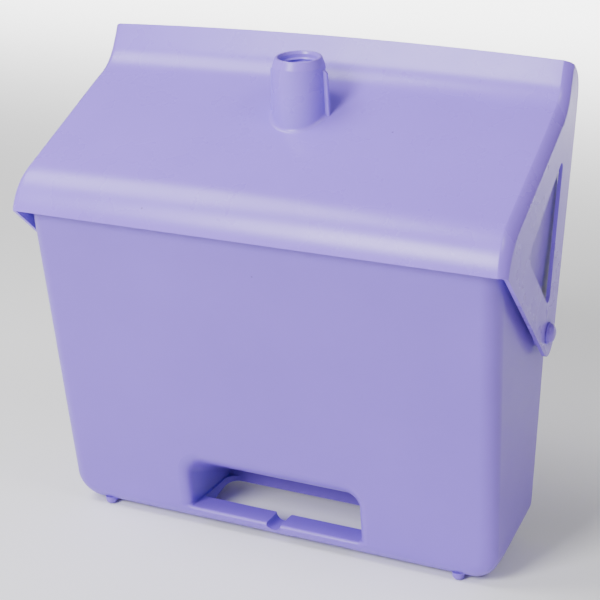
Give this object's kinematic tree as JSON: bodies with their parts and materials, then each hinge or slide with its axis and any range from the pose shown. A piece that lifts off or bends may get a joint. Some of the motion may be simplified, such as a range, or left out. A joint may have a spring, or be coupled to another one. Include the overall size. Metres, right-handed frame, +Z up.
{
  "type": "lobby dustpan head",
  "caption": "Closable dustpan head: a tall tapered pan hung on pivot pins inside a hood, which carries the socket for an upright handle.",
  "frame": {"origin": "centre of the footprint, on the surface that the feet stand on", "axes": "+Z up, -Y towards the lip of the hood and the grip slot, +X to the right seen from the front"},
  "size_m": [0.3764, 0.1594, 0.3619],
  "materials": {
    "pan_plastic": "satin",
    "hood_plastic": "satin",
    "pin_plastic": "satin"
  },
  "bodies": {
    "pan": {"pan": "pan_plastic", "pivot_pin_right": "pin_plastic", "pivot_pin_left": "pin_plastic", "pin_cap_right": "pin_plastic", "pin_cap_left": "pin_plastic"},
    "hood": {"hood": "hood_plastic"}
  },
  "joints": [
    {"name": "hood_hinge", "type": "hinge", "parent": "pan", "child": "hood", "pos_m": [0, 0.0309, 0.174], "axis": [1, 0, 0], "range_deg": [0, 85]}
  ]
}
